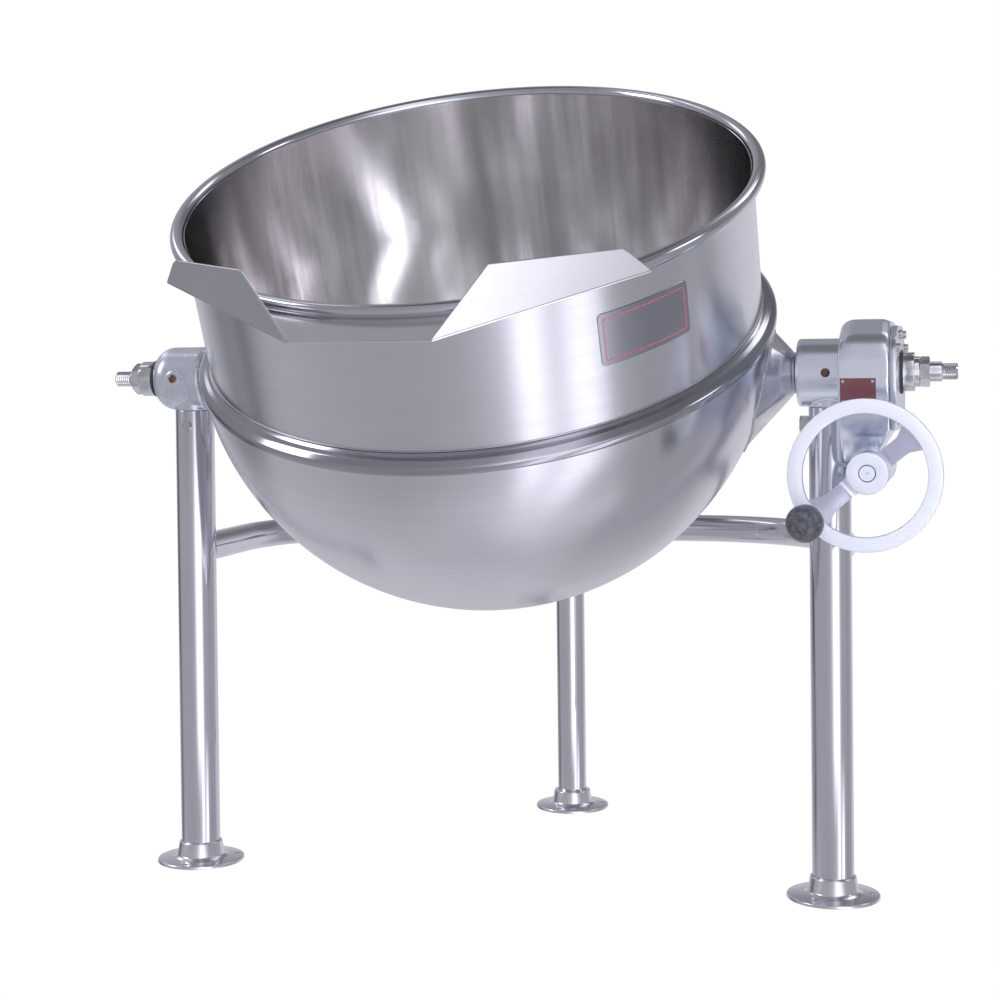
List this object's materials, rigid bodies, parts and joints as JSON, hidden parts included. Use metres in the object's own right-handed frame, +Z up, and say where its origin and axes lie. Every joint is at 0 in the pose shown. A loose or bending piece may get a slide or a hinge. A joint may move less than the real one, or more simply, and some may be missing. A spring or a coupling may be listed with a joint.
{
  "type": "steam jacketed kettle",
  "caption": "Tilting steam jacketed kettle with a pour lip, hung on trunnions in a three-legged tube stand and turned by a handwheel through a worm gearbox.",
  "frame": {"origin": "centre of the bounding box, on the floor under the feet", "axes": "+X along the trunnion line towards the gearbox, +Y towards the single rear leg, +Z up"},
  "size_m": [1.0996, 0.9344, 1.0379],
  "materials": {
    "brushed_stainless": "satin, brushed round the wall",
    "stand_stainless": "satin, brushed lengthwise",
    "machined_steel": "machined",
    "silver_casting": "silver paint over a casting",
    "polished_casting": "polished casting",
    "wheel_aluminium": "satin with a bright rim face",
    "bronze": "machined bearing bronze",
    "brass": "dull brass",
    "bright_chrome": "bright",
    "dark_seal": "matt",
    "bare_badge": "bare brushed plate",
    "red_plate": "dark red enamel, bare",
    "black_knob": "gloss black"
  },
  "bodies": {
    "stand": {"left_leg": "stand_stainless", "right_leg": "stand_stainless", "rear_leg": "stand_stainless", "rear_frame_tube": "stand_stainless", "left_foot": "stand_stainless", "right_foot": "stand_stainless", "rear_foot": "stand_stainless", "left_bearing_housing": "silver_casting", "right_bearing_housing": "polished_casting", "left_trunnion_bushing": "bronze", "right_trunnion_bushing": "bronze", "grease_plugs": "brass", "left_leg_screw": "machined_steel", "gearbox_tie_bolt": "machined_steel", "tie_bolt_nut": "machined_steel", "gearbox_housing": "polished_casting", "gearbox_cover": "polished_casting", "cover_screws": "machined_steel", "data_plate": "red_plate", "data_plate_rivets": "machined_steel", "front_worm_bushing": "bronze", "rear_worm_bushing": "bronze", "worm_end_cap": "polished_casting"},
    "kettle": {"kettle_shell": "brushed_stainless", "rim_bead": "brushed_stainless", "steam_jacket": "brushed_stainless", "jacket_ring": "brushed_stainless", "pour_lip_pan": "brushed_stainless", "right_lip_wing": "brushed_stainless", "left_lip_wing": "brushed_stainless", "badge_plate": "bare_badge", "right_trunnion_gusset": "brushed_stainless", "left_trunnion_gusset": "brushed_stainless", "right_trunnion": "machined_steel", "left_trunnion": "machined_steel", "condensate_tube": "machined_steel", "worm_wheel_sector": "bronze", "wheel_key": "machined_steel", "retaining_ring": "machined_steel", "right_seal_ring": "dark_seal", "left_seal_ring": "dark_seal"},
    "handwheel": {"worm_shaft": "machined_steel", "handwheel": "wheel_aluminium", "handwheel_key": "machined_steel", "hub_set_screw": "machined_steel", "knob_stud": "bright_chrome"},
    "ball_knob": {"ball_knob": "black_knob"},
    "steam_inlet": {"inlet_union_body": "bright_chrome", "inlet_union_nipple": "bright_chrome"},
    "condensate_outlet": {"outlet_union_body": "bright_chrome", "outlet_union_nipple": "bright_chrome"}
  },
  "joints": [
    {"name": "kettle_tilt", "type": "hinge", "parent": "stand", "child": "kettle", "pos_m": [-0.02815, 0.01624, 0.6426], "axis": [1, 0, 0], "range_deg": [-26.5, 63.5]},
    {"name": "handwheel_turn", "type": "hinge", "parent": "stand", "child": "handwheel", "pos_m": [0.44985, 0.01624, 0.5266], "axis": [0, -1, 0], "range_deg": [-1805, 4320]},
    {"name": "knob_spin", "type": "hinge", "parent": "handwheel", "child": "ball_knob", "pos_m": [0.38457, -0.17076, 0.47374], "axis": [0, -1, 0], "continuous": true},
    {"name": "inlet_swivel", "type": "hinge", "parent": "kettle", "child": "steam_inlet", "pos_m": [0.49685, 0.01624, 0.6426], "axis": [1, 0, 0], "continuous": true},
    {"name": "outlet_swivel", "type": "hinge", "parent": "kettle", "child": "condensate_outlet", "pos_m": [-0.50315, 0.01624, 0.6426], "axis": [1, 0, 0], "continuous": true}
  ],
  "couplings": [
    {"joint": "handwheel_turn", "follows": "kettle_tilt", "ratio": 68}
  ]
}
